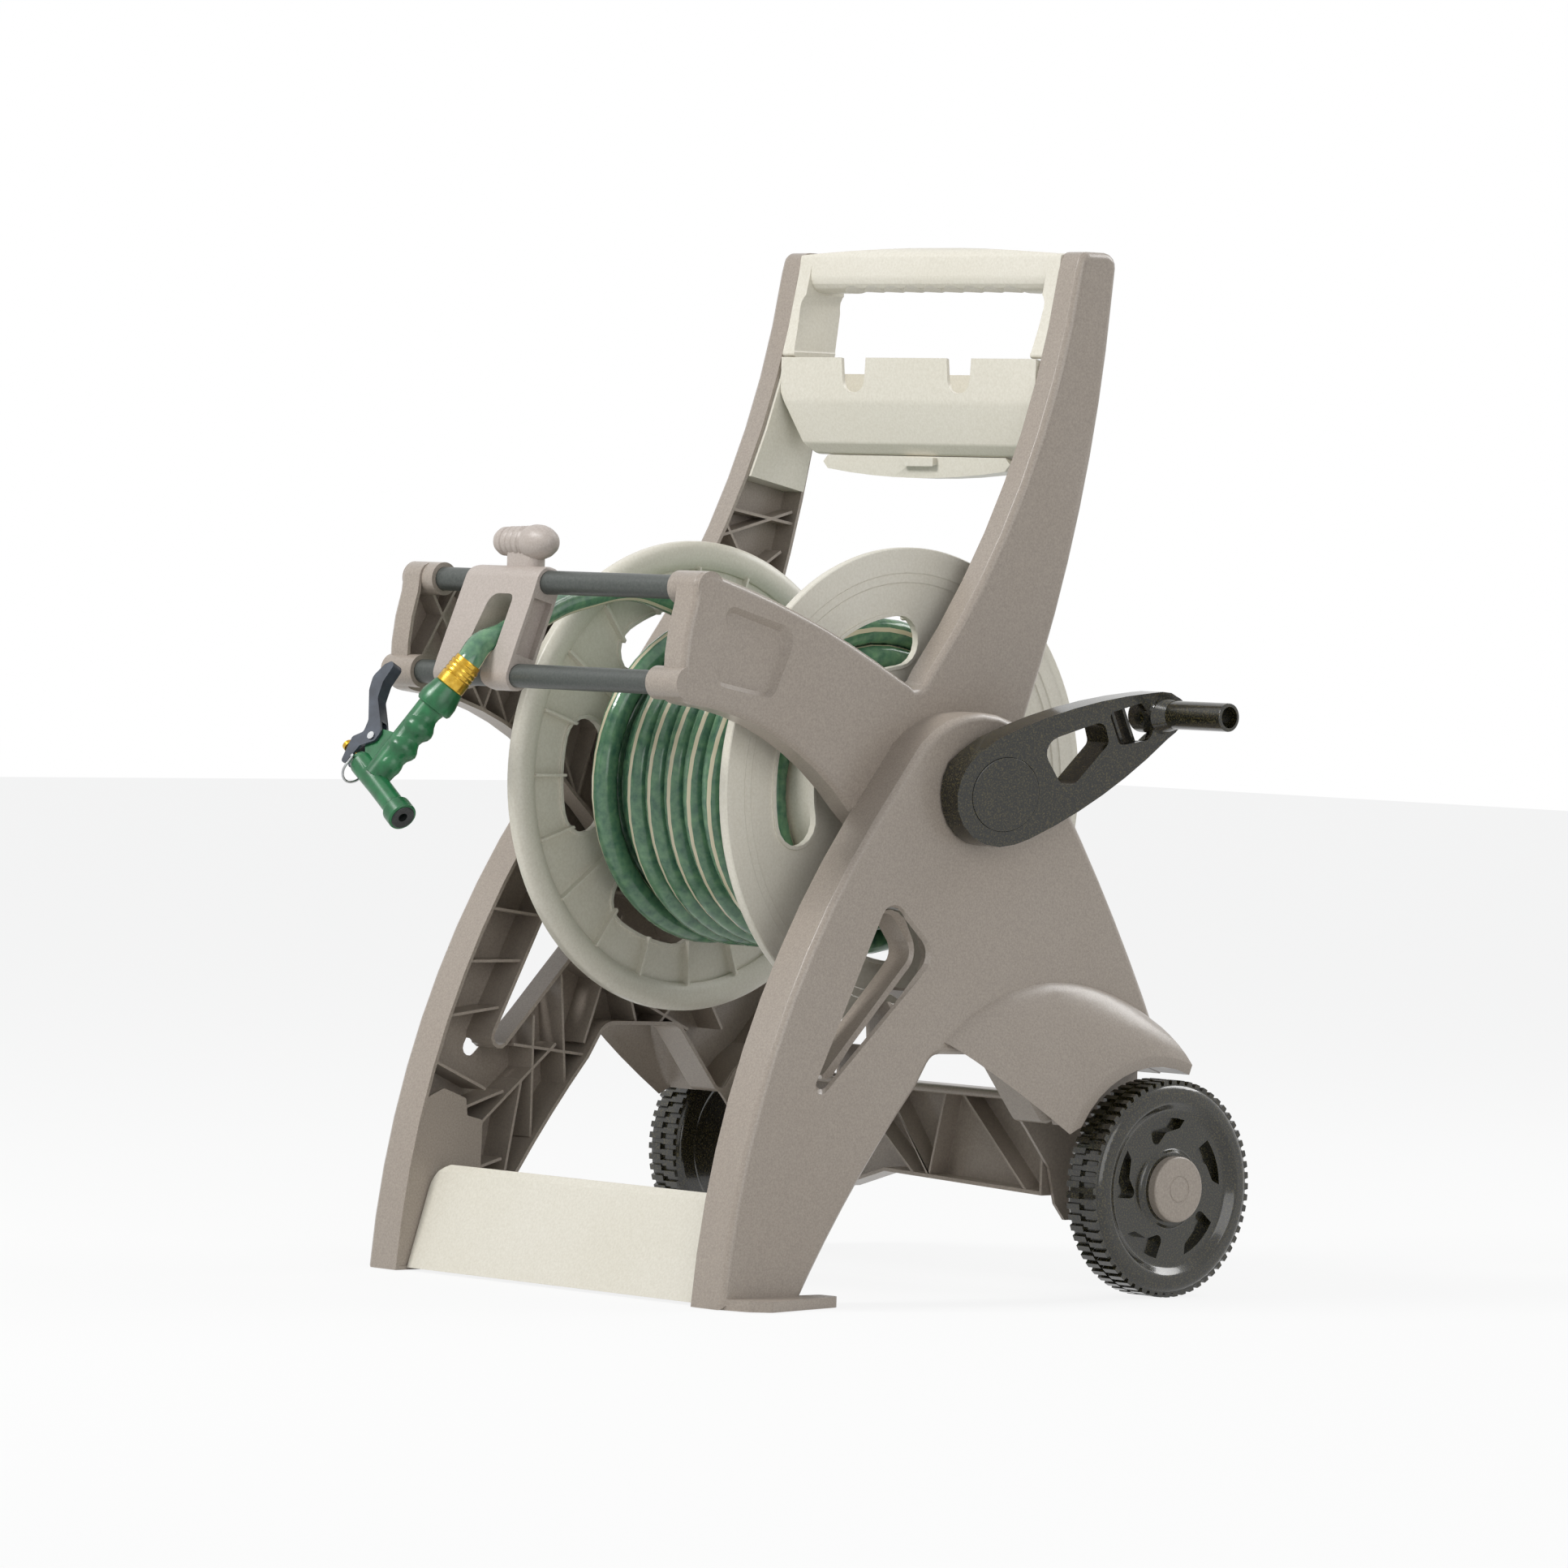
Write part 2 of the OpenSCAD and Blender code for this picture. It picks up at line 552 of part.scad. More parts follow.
// Curved slot, 45 degrees long, between two X planes
slot_in = 104;
slot_out = 146;
module kidney(x0, x1, grow) {
    rm = (slot_in + slot_out) / 2;
    hw = (slot_out - slot_in) / 2 + grow;
    a = 22.5 - asin(((slot_out - slot_in) / 2) / rm);
    translate([0, 0, x0]) linear_extrude(x1 - x0)
        polygon(concat(arc([0, 0], rm + hw, -a, a, 8),
            arc(rm * [cos(a), sin(a)], hw, a + 20, a + 160, 7),
            arc([0, 0], rm - hw, a, -a, 8),
            arc(rm * [cos(a), -sin(a)], hw, -a + 200, -a + 340, 7)));
}

module reel_flange_right() color("#d8d0bd") reel_flange();
module reel_flange_left() color("#d8d0bd") mirror([1, 0, 0]) reel_flange();

web_in = flange_out - 6;
module reel_drum() color("#d8d0bd") difference() {
    rod(-web_in, web_in, reel_c, drum_r);
    rod(-web_in - 1, web_in + 1, reel_c, drum_r - 4);
}

module reel_shaft() color("#3b3c3a") difference() {
    rod(-leg_out + 2, crank_x - 14, reel_c, shaft_r);
    rod(-leg_out + 1, -leg_out + 60, reel_c, shaft_r - 5);
}

// Inner layers of hose on the drum
core_r = coil_r - hose_d / 2 - 0.5;
core_x = flange_out - flange_t - 0.5;
module hose_core() color("#2f5f45") difference() {
    rod(-core_x, core_x, reel_c, core_r, $fn = 96);
    rod(-core_x - 1, core_x + 1, reel_c, drum_r);
}

// Outer layer of hose: one tube that winds from the exit at coil_a over the back
coil_a = 75;
coil_x0 = -112;
coil_step = 21;
function smooth(t) = t <= 0 ? 0 : t >= 1 ? 1 : t * t * (3 - 2 * t);
function coil_x(u) = coil_x0 + coil_p * u + coil_step * smooth(u - 0.75);
function coil_at(u) = let (a = coil_a - 360 * u)
    [coil_x(u), coil_r * cos(a), reel_z + coil_r * sin(a)];
coil_steps = floor(coil_n * 24);
coil_du = coil_n / coil_steps;
function tangent(u) = unit(coil_at(u - 0.001) - coil_at(u + 0.001));
coil_path = concat([coil_at(0) + hose_d * tangent(0)],
    [for (i = [0 : coil_steps]) coil_at(i * coil_du)],
    [coil_at(coil_n) - hose_d * tangent(coil_n)]);
function along(p, i) = unit(p[min(i + 1, len(p) - 1)] - p[max(i - 1, 0)]);

// Rings of a tube of n sides and radius r along a path
function tube_rings(p, r, n, up = [1, 0, 0]) =
    [for (i = [0 : len(p) - 1])
        let (t = along(p, i), s = unit(up - (up * t) * t), w = cross(t, s))
        [for (k = [0 : n - 1]) p[i] + r * (cos(360 * k / n) * s + sin(360 * k / n) * w)]];

module hose_winding() color("#3d7a55") skin(tube_rings(coil_path, hose_d / 2, 6));

coil_gap = min([for (i = [0 : 2 : len(coil_path) - 24], j = [i + 18 : 1 : min(i + 34, len(coil_path) - 1)])
    norm(coil_path[i] - coil_path[j])]) - hose_d;
echo(least_gap_in_winding = coil_gap);

// Crank: a sloping shell that leans away from the frame, seen along the axis as a long taper
crank_outline = rounded(concat(arc([0, 0], 44, 100, 262, 9),
    arc3([8, -45], [100, -35], [crank_len - 6, -20], 6),
    arc([crank_len - 4, 1], 20, -70, 70, 6),
    arc3([crank_len - 6, 23], [98, 38], [10, 47], 6)));
crank_slot = rounded([[42, 27, 13], [102, 20, 8], [100, 0, 7], [50, -24, 11]], 5);
crank_pocket = rounded([[108, 24, 4], [crank_len - 16, 19, 6], [crank_len - 11, 2, 8],
    [crank_len - 20, -14, 8], [108, -6, 5]], 4);

// Side view of the crank as [along, X], between the face and a line behind it
module crank_wedge(d0, d1) {
    function f(y, d) = crank_x + crank_tan * y - d;
    multi = [[-60, f(-60, d0)], [190, f(190, d0)], [190, f(190, d1)], [-60, f(-60, d1)]];
    translate([0, 0, -80]) linear_extrude(160)
        polygon([for (q = multi) [q.y, q.x]]);
}

module crank_arm() {
    back = leg_out + 2;
    color("#33342f") translate([0, 0, reel_z]) rotate([crank_a, 0, 0]) {
        difference() {
            union() {
                difference() {
                    intersection() {
                        slab(back, crank_x + 70, crank_outline);
                        crank_wedge(0, 26);
                    }
                    intersection() {
                        slab(back - 1, crank_x + 70, inset(crank_outline, 3.6));
                        crank_wedge(4, 60);
                    }
                }
                intersection() {
                    union() {
                        rod(back, crank_x + 20, [0, 0], shaft_r + 7);
                        difference() {
                            rod(back, crank_x, [0, 0], 40);
                            rod(back - 1, crank_x, [0, 0], 36.5);
                        }
                        slab(back, crank_x + 70, inset(crank_slot, -3));
                        for (y = [118, 128])
                            translate([back, y, -40]) cube([90, rib_t, 80]);
                    }
                    slab(back, crank_x + 70, inset(crank_outline, 3));
                    union() {
                        crank_wedge(1, 26);
                        translate([back, -42, -42]) cube([34, 84, 84]);
                    }
                    crank_wedge(1, 80);
                }
                intersection() {
                    rod(back, grip_x0, [crank_len, 0], 16);
                    crank_wedge(-3, 26);
                }
                translate([grip_x0 - 16, crank_len, 0]) rotate([0, 90, 0])
                    cylinder(h = 16 - fit, r1 = 18, r2 = grip_r);
                rod(grip_x0 - 17, grip_x1 - 14, [crank_len, 0], grip_r - 3 - run);
            }
            // shaft socket, cap seat, slot and ribbed pocket
            rod(back - 1, crank_x - 13.8, [0, 0], shaft_r + run);
            translate([crank_x, 0, 0]) rotate([0, 0, -crank_b]) rod(-2.5, 10, [0, 0], 31.3 + fit);
            slab(back - 1, crank_x + 80, crank_slot);
            intersection() {
                slab(back, crank_x + 80, crank_pocket);
                crank_wedge(-2, 12);
            }
        }
    }
}

module crank_cap()
    color("#45463c") translate([0, 0, reel_z]) rotate([crank_a, 0, 0])
        translate([crank_x, 0, 0]) rotate([0, 0, -crank_b]) translate([-2.5, 0, 0]) rotate([0, 90, 0])
            rotate_extrude() polygon(rounded([[0, 0], [31.3, 0], [31.3, 3.4, 1], [0, 3.4]], 3));

module crank_grip()
    color("#33342f") translate([0, 0, reel_z]) rotate([crank_a, 0, 0]) difference() {
        translate([grip_x0, crank_len, 0]) rotate([0, 90, 0])
            rotate_extrude() polygon(rounded([[0, 0], [grip_r, 0], [grip_r, grip_len, 1],
                [0, grip_len]], 3));
        rod(grip_x0 - 1, grip_x1 + 1, [crank_len, 0], grip_r - 3);
    }

// Wheel of the +X side: dished face with five curved pockets and two rows of lugs
module wheel() {
    lug = 360 / lug_n;
    body_r = wheel_r - 3;
    translate([wheel_out, axle_y, axle_z]) rotate([0, 90, 0]) {
        difference() {
            rotate_extrude($fn = 96) polygon(rounded([[axle_r + run, -wheel_w], [20, -wheel_w],
                [24, -wheel_w + 6, 4], [66, -wheel_w + 6, 4], [70, -wheel_w, 2],
                [body_r, -wheel_w, 6], [body_r, -1, 8], [74, 0, 6], [66, -7, 6], [34, -7, 4],
                [31, -3, 1], [axle_r + run, -3]], 4));
            for (k = [0 : 4]) rotate([0, 0, 72 * k + 20]) translate([0, 0, -15])
                linear_extrude(20) polygon(rounded(concat(arc([0, 0], 60, 0, 40, 5),
                    [[37 * cos(46), 37 * sin(46), 5], [48 * cos(22), 48 * sin(22), 6],
                    [52 * cos(4), 52 * sin(4), 4]]), 4));
        }
        for (j = [0, 1])
            translate([0, 0, j == 0 ? -wheel_w + 4 : -wheel_w / 2 + 1])
                linear_extrude(wheel_w / 2 - 5) difference() {
                    polygon([for (i = [0 : lug_n - 1], q = [[0.16, -3.6], [0.24, 0], [0.76, 0], [0.84, -3.6]])
                        let (a = lug * (i + q.x + j / 2)) (wheel_r + q.y) * [cos(a), sin(a)]]);
                    circle(r = body_r - 3, $fn = 96);
                }
    }
}
module wheel_right() color("#2e302c") wheel();
module wheel_left() color("#2e302c") mirror([1, 0, 0]) wheel();

// Guide: an arch between the bars, seen square to their plane, with a knob on top
guide_outline = rounded([[-105, bar_gap + ring_r, 10], [-13, bar_gap + ring_r, 3],
    [-17, 60], [-22, 30], [-28, -ring_r, 3], [-60, -ring_r, 8], [-60, 6, 8], [-48, 20, 8],
    [-40, bar_gap - 14, 5], [-69, bar_gap - 14, 14], [-80, 36], [-88, 14, 10], [-90, -ring_r, 6],
    [-122, -ring_r, 8], [-120, 10], [-113, 48]], 4);

module guide_carriage() {
    color("#b3aaa1") {
        translate([0, bar_lo.x, bar_lo.y]) rotate([-bar_lean, 0, 0]) difference() {
            union() {
                slab_y(-ring_r, ring_r, guide_outline);
            }
            for (z = [0, bar_gap]) translate([-140, 0, z]) rotate([0, 90, 0])
                cylinder(h = 160, r = bar_r + run);
            // channels in the sides of both legs and rounded rings round the bars
            slab_y(-ring_r + 3, ring_r - 3, rounded([[0, 16, 0], [-31, 16, 3], [-24, bar_gap - 16, 3],
                [0, bar_gap - 16, 0]], 3));
            for (z = [[-40, 0], [bar_gap, 120]]) difference() {
                translate([-150, -20, z == [-40, 0] ? -40 : bar_gap]) cube([180, 40, 40]);
                translate([-160, 0, z == [-40, 0] ? 0 : bar_gap]) rotate([0, 90, 0])
                    cylinder(h = 200, r = ring_r);
            }
        }
        guide_knob();
    }
}

knob_z = reel_z + 198;
module guide_knob() {
    yk = bar_hi.x + 6;
    difference() {
        translate([-62, yk, bar_hi.y + 10.8]) linear_extrude(knob_z - bar_hi.y - 14)
            polygon(rounded([[-9, -9, 8], [29, -9, 8], [29, 9, 8], [-9, 9, 8]], 4));
        rod(-160, 20, bar_hi, bar_r + 0.5);
    }
    translate([-88, yk, knob_z]) rotate([0, 90, 0]) rotate_extrude($fn = 40)
        polygon(concat([[0, 0]], arc3([6, 1], [11, 6], [12.4, 14], 3),
            [[11.6, 15], [12.8, 17.5], [12.8, 21], [11.9, 22.2], [13, 24], [13, 28], [12, 29.4],
            [13.3, 31], [13.3, 35], [12.2, 36.5], [13.6, 38.5], [12.8, 40.5]],
            arc3([14, 43], [14.8, 54], [10, 67], 4), [[5, 71.6], [0, 72]]));
}

// Free run of hose from the winding through the guide, as [X, Y, Z] from the reel axis
run_route = [[-108, -30, 144], [-105, -62, 153], [-102, -94, 160], [-97, -125, 160],
    [-90, -160, 154], [-80, -200, 146], [-66, -240, 134], [-59, -268, 125], [-58, -284, 118],
    [-61, -303, 111]];
hose_end = [-59, -317, reel_z + 97];
run_path = concat([coil_path[0], coil_path[0] + 12 * tangent(0)],
    [for (p = run_route) p + [0, 0, reel_z]], [hose_end]);
module hose_run() color("#4f8d76") skin([for (g = tube_rings(run_path, hose_d / 2, 12, [0, 0, 1])) g]);

// Nozzle frame: Z up the grip from the hose, X forward to the outlet
noz_z = unit([-0.383, -0.453, -0.804]);
noz_x = unit([0.91, -0.044, -0.41] - ([0.91, -0.044, -0.41] * noz_z) * noz_z);
noz_y = cross(noz_z, noz_x);
noz_turn = [atan2(noz_y.z, noz_z.z), asin(-noz_x.z), atan2(noz_x.y, noz_x.x)];
lever_c = [-31, 99.6];
barrel_c = [-31, 121.7];
barrel_tilt = 9.4;
barrel_len = 85;

module in_nozzle() translate(hose_end) rotate(noz_turn) children();
module in_barrel(l) in_nozzle() translate([barrel_c.x, 0, barrel_c.y]) rotate([0, 90 - barrel_tilt, 0])
    translate([0, 0, l]) children();
module lever_bore() translate([lever_c.x, 20, lever_c.y]) rotate([90, 0, 0]) cylinder(h = 40, r = 2 + run);

module hose_coupling() color("#c9a43c") in_nozzle() rotate_extrude($fn = 48)
    polygon([[0, 0], [11.6, 0], [12, 1], [12, 4], [13, 5], [13, 7], [12.3, 8], [13, 9], [13, 11],
        [12.3, 12], [13, 13], [13, 15], [12.3, 16], [13.2, 17], [13.2, 26], [12.6, 27], [0, 27]]);

module nozzle_collar() color("#2f7a4a") in_nozzle() translate([0, 0, 27]) rotate_extrude($fn = 48)
    polygon([[0, 0], [12.5, 0], [13.6, 1.2], [16.4, 13], [16.4, 20], [15, 22.5], [12, 23], [0, 23]]);

module nozzle_body() color("#2f7a4a") difference() {
    union() {
        in_nozzle() translate([-2.5, 0, 50]) cylinder(h = barrel_c.y - 48, r = 11.4);
        // grip with finger waves towards the outlet
        in_nozzle() translate([1.5, 0, 50]) rotate_extrude($fn = 48) polygon([[0, 0], [10.6, 0],
            [9.4, 4], [9.2, 8], [10.6, 12], [13, 16], [13.9, 20], [13, 24], [10.4, 27.5], [9.4, 31],
            [10.8, 34.5], [12.8, 38], [13.6, 41.5], [12.4, 45], [10.2, 48.5], [9.4, 52], [10.4, 56],
            [10.6, 60], [9.6, 64], [9, 70], [0, 70]]);
        in_barrel(0) rotate_extrude($fn = 48) polygon(rounded([[0, 0], [8.6, 0, 2], [10.6, 6, 2],
            [9.6, 40, 8], [9.6, barrel_len - 14, 1], [12.5, barrel_len - 13, 1.5], [12.5, barrel_len, 1.5],
            [0, barrel_len]], 3));
        // ear that carries the lever
        in_nozzle() slab_y(-3, 3, rounded([[-10, 84], [-24, 88, 4], [lever_c.x - 6, lever_c.y - 7, 5],
            [lever_c.x - 6, lever_c.y + 6, 5], [lever_c.x + 2, lever_c.y + 13, 4], [-20, 122], [-10, 122]], 4));
    }
    in_nozzle() lever_bore();
    in_barrel(barrel_len - 8) cylinder(h = 20, r = 10.3 + run);
    in_barrel(-2) cylinder(h = 24, r = 2.2 + run);
    in_nozzle() translate(clip_c) rotate([90, 0, 0]) translate([0, 0, -15]) cylinder(h = 30, r = 1.4 + run);
}

module nozzle_tip() color("#23272a") in_barrel(barrel_len - 8) rotate_extrude($fn = 48)
    polygon([[4, 0], [10.3, 0], [10.3, 8.4], [9.4, 9.2], [6, 8.2], [4, 8.2]]);

// Valve stem and flow nut behind the barrel
module nozzle_stem() color("#c9a43c") in_barrel(-22) {
    cylinder(h = 36, r = 2.2);
    cylinder(h = 4, r = 5, $fn = 24);
}

// Wire bail hinged in the sides of the barrel, which holds the lever squeezed
clip_c = [-28, 0, 122.2];
module lever_clip() color("#c8c9c8") in_nozzle() translate(clip_c) {
    translate([0, 0, 9]) rotate([90, 0, 90]) rotate_extrude(angle = 180, $fn = 48)
        translate([11.2, 0]) circle(r = 1.1, $fn = 16);
    for (s = [-1, 1]) {
        translate([0, s * 11.2, 0]) cylinder(h = 9, r = 1.1, $fn = 16);
        translate([0, s * 12.7, 0]) rotate([s * 90, 0, 0]) cylinder(h = 6.5, r = 1.4, $fn = 24);
    }
}

module lever_pin() color("#d9dadb") in_nozzle() translate([lever_c.x, 0, lever_c.y])
    for (s = [-1, 1]) rotate([s * 90, 0, 0]) {
        cylinder(h = 6.2, r = 2);
        translate([0, 0, 6.1]) cylinder(h = 1.2, r = 3.4, $fn = 24);
    }

module trigger_lever() color("#353b45") in_nozzle() difference() {
    slab_y(-6, 6, rounded([[-35.8, 130, 2], [-35, 112, 3], [-24.5, 101, 5], [-25, 92, 5], [-36, 83.5, 10],
        [-53.5, 71.5, 8], [-60.5, 58, 8], [-62, 43, 3], [-66.5, 38.8, 3], [-71.5, 46, 4], [-74, 60, 9],
        [-67.5, 71, 8], [-45.5, 91, 8], [-41.5, 101, 4], [-48.5, 110, 3], [-45.5, 120, 3],
        [-40.5, 134, 3]], 3));
    lever_bore();
    translate([lever_c.x, 3.4, lever_c.y]) rotate([90, 0, 0]) cylinder(h = 6.8, r = 15);
    translate([-60, -3.4, lever_c.y]) cube([45, 6.8, 60]);
}

module place() translate([cart_x, cart_y, 0]) children();

place() side_frame_right();
place() side_frame_left();
place() front_panel();
place() rear_brace();
place() handle_yoke();
place() storage_tray();
place() tray_base();
place() axle();
place() hub_cap_right();
place() hub_cap_left();
place() guide_bar_upper();
place() guide_bar_lower();
place() water_inlet();
place() reel_flange_right();
place() reel_flange_left();
place() reel_drum();
place() reel_shaft();
place() hose_core();
place() hose_winding();
place() crank_arm();
place() crank_cap();
place() crank_grip();
place() wheel_right();
place() wheel_left();
place() guide_carriage();
place() hose_run();
place() hose_coupling();
place() nozzle_body();
place() nozzle_collar();
place() nozzle_tip();
place() nozzle_stem();
place() lever_clip();
place() lever_pin();
place() trigger_lever();
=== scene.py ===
"""Hose reel cart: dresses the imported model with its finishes, its wound hose and the run to the nozzle."""
import json
import math

import bmesh
import bpy
from mathutils import Matrix, Vector


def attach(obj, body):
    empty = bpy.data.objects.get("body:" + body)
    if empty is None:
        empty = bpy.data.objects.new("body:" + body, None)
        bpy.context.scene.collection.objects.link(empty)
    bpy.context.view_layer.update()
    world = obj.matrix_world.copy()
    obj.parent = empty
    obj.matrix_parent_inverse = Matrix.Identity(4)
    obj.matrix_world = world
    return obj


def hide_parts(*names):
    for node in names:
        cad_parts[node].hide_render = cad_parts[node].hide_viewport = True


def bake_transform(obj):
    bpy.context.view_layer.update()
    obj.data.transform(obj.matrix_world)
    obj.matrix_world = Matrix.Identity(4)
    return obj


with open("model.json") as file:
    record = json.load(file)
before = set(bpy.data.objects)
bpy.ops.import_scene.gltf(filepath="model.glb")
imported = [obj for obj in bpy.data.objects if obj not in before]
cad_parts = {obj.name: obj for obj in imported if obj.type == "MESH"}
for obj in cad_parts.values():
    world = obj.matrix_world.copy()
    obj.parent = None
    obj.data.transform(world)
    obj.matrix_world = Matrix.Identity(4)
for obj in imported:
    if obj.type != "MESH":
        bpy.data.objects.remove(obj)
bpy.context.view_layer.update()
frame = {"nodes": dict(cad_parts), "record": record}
MM = 0.001

# Sizes of the part's source, in millimetres and degrees
REEL_Z = 424
CRANK_X, CRANK_LEN, CRANK_LEAN = 262, 156, 16.5
GRIP_START, GRIP_LEN = 10, 64
WHEEL_OUT, WHEEL_R, CAP_T, AXLE_Y = 286, 92, 6, 188
BAR_LOW_Y, BOSS_R = -290.6, 14
HOSE_D = 22

# The outer layer of hose: its radius, its step to the side each turn, and the hop over the run's first turn
COIL_R, COIL_PITCH, COIL_TURNS = 132, 24, 8.4
COIL_START, COIL_X0 = 75, -112
COIL_HOP, HOP_TURN = 21, 0.75
COIL_STEPS, COIL_SIDES, COIL_TWIST = 48, 20, 26.0

# The layer under it, slacker and wound a little closer
UNDER_R, UNDER_PITCH, UNDER_TURNS = COIL_R - 21.6, 22.3, 10.2
UNDER_START, UNDER_X0 = -40, -113
UNDER_SLACK, UNDER_STEPS, UNDER_SIDES, UNDER_TWIST = 0.6, 40, 16, 31.0

# The free run from the winding to the coupling, from the reel's middle, and the way that the nozzle points
RUN_POINTS = ((-108, -30, 144), (-105, -62, 153), (-102, -94, 160), (-97, -125, 160), (-90, -160, 154),
              (-80, -200, 146), (-66, -240, 134), (-59, -268, 125), (-58, -284, 118), (-61, -303, 111))
RUN_LEAD, RUN_TWIST = 12, 0.6
HOSE_END = Vector((-59, -317, REEL_Z + 97))
HOSE_IN_COUPLING = 24
NOZZLE_WAY = Vector((-0.383, -0.453, -0.804)).normalized()

# The photograph's camera: the point that it looks at, its direction, roll, distance and lens
VIEW_TARGET = (-145.1, 120.0, 417.1)
VIEW_AZIMUTH, VIEW_HEIGHT, VIEW_ROLL = 47.78, 1.52, 1.74
VIEW_DISTANCE, VIEW_LENS, VIEW_SENSOR = 7.952, 208.9, 36

# Three soft lamps: place, side and power, in metres and watts
LAMPS = {"key": ((-0.9, -2.7, 3.1), 1.1, 106),
         "fill": ((3.4, -1.2, 1.4), 2.4, 34),
         "rim": ((0.6, 2.6, 2.4), 1.6, 46)}
LAMP_TARGET = Vector((0, 0, 0.42))
FLOOR_HALF, FLOOR_DROP = 12, 0.0006
# Share of its own white in the floor as the camera and gloss see it; the rest is lit and takes the shadow
FLOOR_WHITE = 0.86
SKY_LIGHT = 0.42

# Width of the softened edge of each moulded or cast piece, in millimetres
SOFT_EDGES = {"side_frame_right": 0.7, "side_frame_left": 0.7, "front_panel": 0.8, "rear_brace": 0.6,
              "handle_yoke": 0.9, "storage_tray": 0.9, "reel_flange_right": 0.5, "reel_flange_left": 0.5,
              "crank_arm": 0.9, "guide_carriage": 0.8, "wheel_right": 0.5, "wheel_left": 0.5,
              "hub_cap_right": 0.4, "hub_cap_left": 0.4, "nozzle_body": 0.8, "trigger_lever": 0.9,
              "nozzle_collar": 0.4, "hose_coupling": 0.2}
# Edges sharper than the first angle stay sharp in the shading, and those past the second are softened
SMOOTH_ANGLE, EDGE_ANGLE = math.radians(34), math.radians(40)
MERGE_WITHIN, FLAT_WITHIN = 2e-6, math.radians(1)

GRIP_END = CRANK_X + math.tan(math.radians(CRANK_LEAN)) * CRANK_LEN + GRIP_START + GRIP_LEN
CART = Vector((-(GRIP_END - WHEEL_OUT - CAP_T) / 2, -(AXLE_Y + WHEEL_R + BAR_LOW_Y - BOSS_R) / 2, 0))


def cart(x, y, z):
    """A point of the cart, in millimetres from the reel's middle and the ground, in the row frame."""
    return (Vector((x, y, z)) + CART) * MM


# Camera and stage
def make_camera():
    """The long lens and the slight roll of the photograph."""
    azimuth, height, roll = (math.radians(a) for a in (VIEW_AZIMUTH, VIEW_HEIGHT, VIEW_ROLL))
    away = Vector((math.cos(height) * math.sin(azimuth),
                   -math.cos(height) * math.cos(azimuth),
                   math.sin(height)))
    right = away.cross(Vector((0, 0, -1))).normalized()
    up = right.cross(-away)
    turned = Matrix((right * math.cos(roll) + up * math.sin(roll),
                     up * math.cos(roll) - right * math.sin(roll), away)).transposed()
    data = bpy.data.cameras.new("studio_camera")
    data.sensor_width = VIEW_SENSOR
    data.lens = VIEW_LENS
    data.clip_end = 60
    camera = bpy.data.objects.new("studio_camera", data)
    camera.matrix_world = Matrix.Translation(cart(*VIEW_TARGET) + away * VIEW_DISTANCE) @ turned.to_4x4()
    bpy.context.scene.collection.objects.link(camera)
    bpy.context.scene.camera = camera


def linear(code):
    """A hex colour as the screen shows it, turned to the linear values that nodes take."""
    parts = [int(code[i:i + 2], 16) / 255 for i in (1, 3, 5)]
    return tuple(v / 12.92 if v <= 0.04045 else ((v + 0.055) / 1.055) ** 2.4 for v in parts) + (1,)


def add(tree, kind, links=(), values=(), stops=(), **settings):
    """Adds one node with its settings, values, the outputs that feed it and a ramp's colour stops."""
    node = tree.nodes.new(kind)
    for name, value in settings.items():
        setattr(node, name, value)
    for socket, value in dict(values).items():
        node.inputs[socket].default_value = value
    for socket, output in dict(links).items():
        tree.links.new(output, node.inputs[socket])
    for i, (position, colour) in enumerate(stops):
        node.color_ramp.elements[i].position = position
        node.color_ramp.elements[i].color = linear(colour)
    return node


def lumps(size_mm, detail):
    """Values of a noise whose lumps are about size_mm across on the piece."""
    return {"Scale": 1 / (size_mm * MM), "Detail": detail, "Roughness": 0.55}


def seen_directly(tree):
    """One where the camera or a reflection looks straight at the surface, else nought."""
    path = add(tree, "ShaderNodeLightPath")
    return add(tree, "ShaderNodeMath", {0: path.outputs["Is Camera Ray"], 1: path.outputs["Is Glossy Ray"]},
               operation="MAXIMUM").outputs[0]


def make_floor():
    """Matt white studio paper: lit, so that it keeps the shadow, with its own white mixed in."""
    floor_mesh = bpy.data.meshes.new("floor")
    sheet = bmesh.new()
    bmesh.ops.create_grid(sheet, x_segments=1, y_segments=1, size=FLOOR_HALF)
    bmesh.ops.translate(sheet, verts=sheet.verts, vec=(0, 0, -FLOOR_DROP))
    sheet.to_mesh(floor_mesh)
    sheet.free()
    floor = bpy.data.objects.new("floor", floor_mesh)
    bpy.context.scene.collection.objects.link(floor)
    paper = bpy.data.materials.new("studio_paper")
    paper.use_nodes = True
    tree = paper.node_tree
    tree.nodes.clear()
    share = add(tree, "ShaderNodeMath", {0: seen_directly(tree)}, {1: FLOOR_WHITE}, operation="MULTIPLY")
    matt = add(tree, "ShaderNodeBsdfDiffuse", (), {"Color": linear("#dadad8")})
    white = add(tree, "ShaderNodeEmission", (), {"Color": (1, 1, 1, 1), "Strength": 1.0})
    mixed = add(tree, "ShaderNodeMixShader",
                {"Fac": share.outputs[0], 1: matt.outputs[0], 2: white.outputs[0]})
    add(tree, "ShaderNodeOutputMaterial", {"Surface": mixed.outputs[0]})
    floor_mesh.materials.append(paper)


